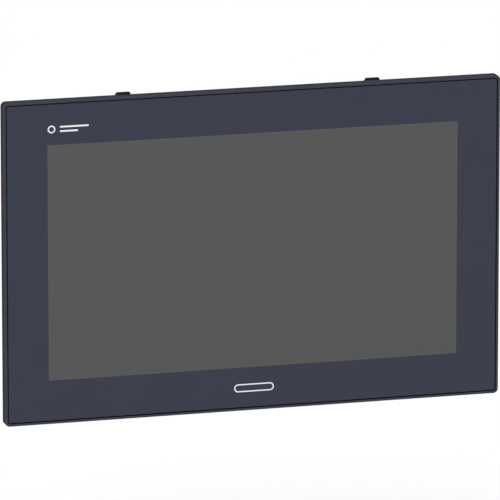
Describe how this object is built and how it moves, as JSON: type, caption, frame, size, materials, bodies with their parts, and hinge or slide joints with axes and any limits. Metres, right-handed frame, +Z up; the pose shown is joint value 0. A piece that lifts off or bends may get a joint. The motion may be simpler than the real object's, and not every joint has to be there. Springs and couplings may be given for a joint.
{
  "type": "hmi touch panel",
  "caption": "Panel-mount industrial touch computer: flat slate bezel with a wide glass front, a tub with sprung retaining latches, a finned heat sink, a port row and a sliding drive tray.",
  "frame": {"origin": "middle of the sealing plane, where the gasket meets the control panel", "axes": "+Y into the cabinet, +Z up, the display faces -Y, +X to the right seen from the front"},
  "size_m": [0.4204, 0.0618, 0.2692],
  "materials": {
    "slate_coat": "fine matt powder coat",
    "front_glass": "anti-glare front glass, printed on the back",
    "black_foam": "closed-cell foam",
    "tape": "acrylic foam tape",
    "sensor_film": "clear film with fine traces",
    "polyimide": "amber polyimide",
    "white_ribbon": "white flat cable",
    "stamped_steel": "zinc-plated sheet",
    "cell_glass": "polarised display glass",
    "diffuser": "white diffusing film",
    "acrylic": "clear acrylic",
    "white_film": "white reflector film",
    "led_strip": "white strip with yellow LEDs",
    "aluminium_sheet": "mill finish",
    "circuit_board": "green solder mask",
    "black_parts": "moulded",
    "screw_steel": "zinc-plated",
    "chip": "green carrier with a bare die",
    "pad": "soft thermal pad",
    "sink_aluminium": "satin anodised",
    "cover_steel": "light-grey powder-coated sheet",
    "bay_steel": "zinc-plated sheet",
    "tray_steel": "coated sheet",
    "drive_case": "black anodised case",
    "knurled": "nickel-plated, knurled",
    "port_shield": "bright tinned shield",
    "tongue_blue": "blue insulator",
    "insulator": "black insulator",
    "header_green": "green terminal header",
    "switch_black": "moulded",
    "rocker_black": "moulded",
    "button_grey": "moulded",
    "contact_gold": "gold-plated",
    "brass_stud": "plated",
    "latch_black": "black acetal",
    "spring_steel": "spring wire",
    "cell_steel": "stamped can"
  },
  "bodies": {
    "housing": {"bezel_frame": "slate_coat", "cover_glass": "front_glass", "glass_tape": "tape", "panel_gasket": "black_foam", "touch_sensor": "sensor_film", "lcd_foam_seal": "black_foam", "touch_flex": "polyimide", "lcd_front_frame": "stamped_steel", "lcd_cell": "cell_glass", "optical_films": "diffuser", "light_guide": "acrylic", "reflector_sheet": "white_film", "led_bar": "led_strip", "lcd_rear_tray": "aluminium_sheet", "lcd_timing_board": "circuit_board", "touch_controller_board": "circuit_board", "lcd_bracket_left": "stamped_steel", "lcd_bracket_right": "stamped_steel", "bracket_screws": "screw_steel", "display_cable": "white_ribbon", "chassis_plate": "stamped_steel", "chassis_screws": "screw_steel", "board_standoffs": "brass_stud", "main_board": "circuit_board", "board_screws": "screw_steel", "board_components": "black_parts", "processor": "chip", "thermal_pad": "pad", "heat_spreader": "aluminium_sheet", "memory_socket": "black_parts", "memory_module": "circuit_board", "battery_holder": "black_parts", "coin_cell": "cell_steel", "rear_cover": "cover_steel", "cover_screws": "screw_steel", "heat_sink": "sink_aluminium", "heat_sink_screws": "screw_steel", "drive_bay": "bay_steel", "drive_socket": "circuit_board", "lan_ports": "port_shield", "lan_contacts": "contact_gold", "usb_ports": "port_shield", "usb_tongues": "tongue_blue", "serial_port": "port_shield", "serial_insert": "insulator", "screen_port": "port_shield", "power_header": "header_green", "header_pins": "contact_gold", "switch_body": "switch_black", "ground_stud": "brass_stud", "latch_spring_left": "spring_steel", "latch_spring_right": "spring_steel"},
    "latch_left": {"latch_left": "latch_black"},
    "latch_right": {"latch_right": "latch_black"},
    "rocker": {"switch_rocker": "rocker_black"},
    "reset_button": {"reset_button": "button_grey"},
    "drive_tray": {"drive_tray": "tray_steel", "solid_state_drive": "drive_case"},
    "tray_thumbscrew": {"tray_thumbscrew": "knurled"}
  },
  "joints": [
    {"name": "latch_left_slide", "type": "slide", "parent": "housing", "child": "latch_left", "axis": [0, 0, 1], "range_m": [-0.0045, 0], "stiffness_N_per_m": 600, "springref_m": 0.008, "deforming": ["latch_spring_left"]},
    {"name": "latch_right_slide", "type": "slide", "parent": "housing", "child": "latch_right", "axis": [0, 0, 1], "range_m": [-0.0045, 0], "stiffness_N_per_m": 600, "springref_m": 0.008, "deforming": ["latch_spring_right"]},
    {"name": "rocker_hinge", "type": "hinge", "parent": "housing", "child": "rocker", "pos_m": [0.076, 0.029, -0.1042], "axis": [0, 1, 0], "range_deg": [0, 18]},
    {"name": "reset_press", "type": "slide", "parent": "housing", "child": "reset_button", "axis": [0, 0, 1], "range_m": [0, 0.0008], "stiffness_N_per_m": 800, "springref_m": -0.001},
    {"name": "drive_tray_slide", "type": "slide", "parent": "housing", "child": "drive_tray", "axis": [1, 0, 0], "range_m": [0, 0.1]},
    {"name": "thumbscrew_turn", "type": "hinge", "parent": "drive_tray", "child": "tray_thumbscrew", "pos_m": [0.1738, 0.0295, 0.0399], "axis": [1, 0, 0], "continuous": true}
  ]
}
